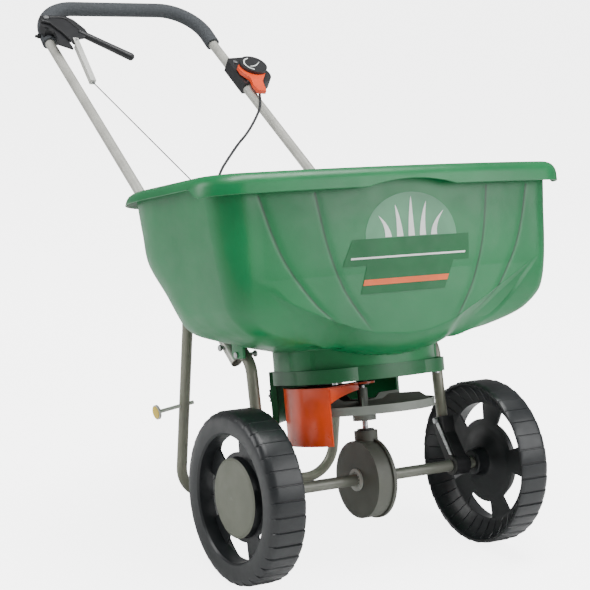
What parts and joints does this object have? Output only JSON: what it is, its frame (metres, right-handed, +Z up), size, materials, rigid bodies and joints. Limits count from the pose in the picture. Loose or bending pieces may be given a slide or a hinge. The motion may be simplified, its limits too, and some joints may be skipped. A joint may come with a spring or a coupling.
{
  "type": "rotary spreader",
  "caption": "Push spreader with an open hopper, a spinning throw disc geared from the axle, a side shield, two lugged wheels, a rear stand and a padded U handle.",
  "frame": {"origin": "on the ground, below the middle of the bounding box, standing on both wheels and the rear stand", "axes": "+X to the right wheel, +Y back towards the handle, +Z up"},
  "size_m": [0.6954, 1.1782, 0.8276],
  "materials": {
    "hopper_green": "satin moulded",
    "base_green": "satin moulded",
    "frame_grey": "satin powder coat",
    "handle_grey": "satin powder coat",
    "foam": "fine cell foam, matte",
    "wheel_black": "semi-gloss moulded",
    "hubcap_grey": "matte moulded",
    "gearbox_grey": "satin moulded",
    "steel": "bright",
    "ring_grey": "moulded",
    "shield_orange": "glossy moulded",
    "rotor_grey": "satin moulded",
    "black_plastic": "fine texture",
    "white_plastic": "glossy moulded",
    "yellow_plastic": "glossy moulded",
    "zinc": "zinc plated",
    "sheath": "smooth",
    "bearing_nylon": "self-lubricating"
  },
  "bodies": {
    "frame": {"hopper": "hopper_green", "hopper_base": "base_green", "base_screws": "steel", "gate_guide": "bearing_nylon", "left_leg_tube": "frame_grey", "right_leg_tube": "frame_grey", "rear_stand": "frame_grey", "handle_tube": "handle_grey", "foam_grip": "foam", "frame_bolts": "zinc", "stand_bolts": "zinc", "left_axle_bracket": "black_plastic", "right_axle_bracket": "black_plastic", "left_axle_bush": "bearing_nylon", "right_axle_bush": "bearing_nylon", "left_leg_strap": "zinc", "right_leg_strap": "zinc", "bracket_bolts": "steel", "gearbox_left_shell": "gearbox_grey", "gearbox_right_shell": "gearbox_grey", "gearbox_screws": "steel", "lower_bearing": "bearing_nylon", "upper_bearing": "bearing_nylon", "shield_pivot": "black_plastic", "lever_clamp": "black_plastic", "lever_rivet": "steel", "clamp_bolt": "black_plastic", "edge_housing": "black_plastic", "edge_cap": "black_plastic", "edge_screws": "steel", "edge_cable": "sheath"},
    "axle": {"axle_tube": "steel", "axle_cotters": "zinc", "axle_washers": "zinc", "crown_gear": "bearing_nylon", "clutch_ring": "ring_grey", "left_wheel": "wheel_black", "left_hubcap": "hubcap_grey"},
    "free_wheel": {"right_wheel": "wheel_black", "right_hubcap": "hubcap_grey"},
    "rotor": {"rotor_shaft": "steel", "rotor_disc": "rotor_grey", "bevel_pinion": "bearing_nylon", "rotor_pin": "steel", "agitator": "zinc"},
    "gate": {"gate_plate": "black_plastic"},
    "lever": {"gate_lever": "black_plastic"},
    "link": {"link_bar": "zinc", "link_rivet": "steel", "gate_wire": "zinc"},
    "edge_lever": {"edge_lever": "shield_orange"},
    "edge_shield": {"edge_shield": "shield_orange"},
    "pin": {"stow_pin": "white_plastic", "pin_badge": "yellow_plastic"},
    "dial": {"rate_dial": "black_plastic"}
  },
  "joints": [
    {"name": "axle_spin", "type": "hinge", "parent": "frame", "child": "axle", "pos_m": [0, -0.44909, 0.14], "axis": [1, 0, 0], "continuous": true},
    {"name": "free_wheel_spin", "type": "hinge", "parent": "axle", "child": "free_wheel", "pos_m": [0.241, -0.44909, 0.14], "axis": [1, 0, 0], "continuous": true},
    {"name": "rotor_spin", "type": "hinge", "parent": "frame", "child": "rotor", "pos_m": [0, -0.41658, 0.25135], "axis": [0, 0.2803, 0.9599], "continuous": true},
    {"name": "lever_squeeze", "type": "hinge", "parent": "frame", "child": "lever", "pos_m": [-0.187, 0.49788, 0.79872], "axis": [0, -0.4502, 0.8929], "range_deg": [0, 20], "stiffness_Nm_per_rad": 4, "springref_deg": -8.59},
    {"name": "link_swing", "type": "hinge", "parent": "lever", "child": "link", "pos_m": [-0.154, 0.42555, 0.76226], "axis": [0, -0.4502, 0.8929], "range_deg": [-22, 0]},
    {"name": "gate_slide", "type": "slide", "parent": "frame", "child": "gate", "axis": [0, 0.9599, -0.2803], "range_m": [0, 0.017]},
    {"name": "edge_lever_turn", "type": "hinge", "parent": "frame", "child": "edge_lever", "pos_m": [0.212, 0.36756, 0.71735], "axis": [0, -0.4502, 0.8929], "range_deg": [0, 50]},
    {"name": "edge_shield_swing", "type": "hinge", "parent": "frame", "child": "edge_shield", "pos_m": [0, -0.40481, 0.29167], "axis": [0, 0.2803, 0.9599], "range_deg": [-66, 0]},
    {"name": "pin_pull", "type": "slide", "parent": "frame", "child": "pin", "axis": [-0.9903, -0.039, -0.1336], "range_m": [0, 0.05]},
    {"name": "dial_turn", "type": "hinge", "parent": "frame", "child": "dial", "pos_m": [-0.078, -0.27954, 0.24259], "axis": [0, 0.9599, -0.2803], "range_deg": [0, 270]}
  ],
  "couplings": [
    {"joint": "rotor_spin", "follows": "axle_spin", "ratio": 4},
    {"joint": "link_swing", "follows": "lever_squeeze", "ratio": -1.09},
    {"joint": "gate_slide", "follows": "lever_squeeze", "m_per_rad": 0.0487},
    {"joint": "edge_shield_swing", "follows": "edge_lever_turn", "ratio": -1.32}
  ]
}
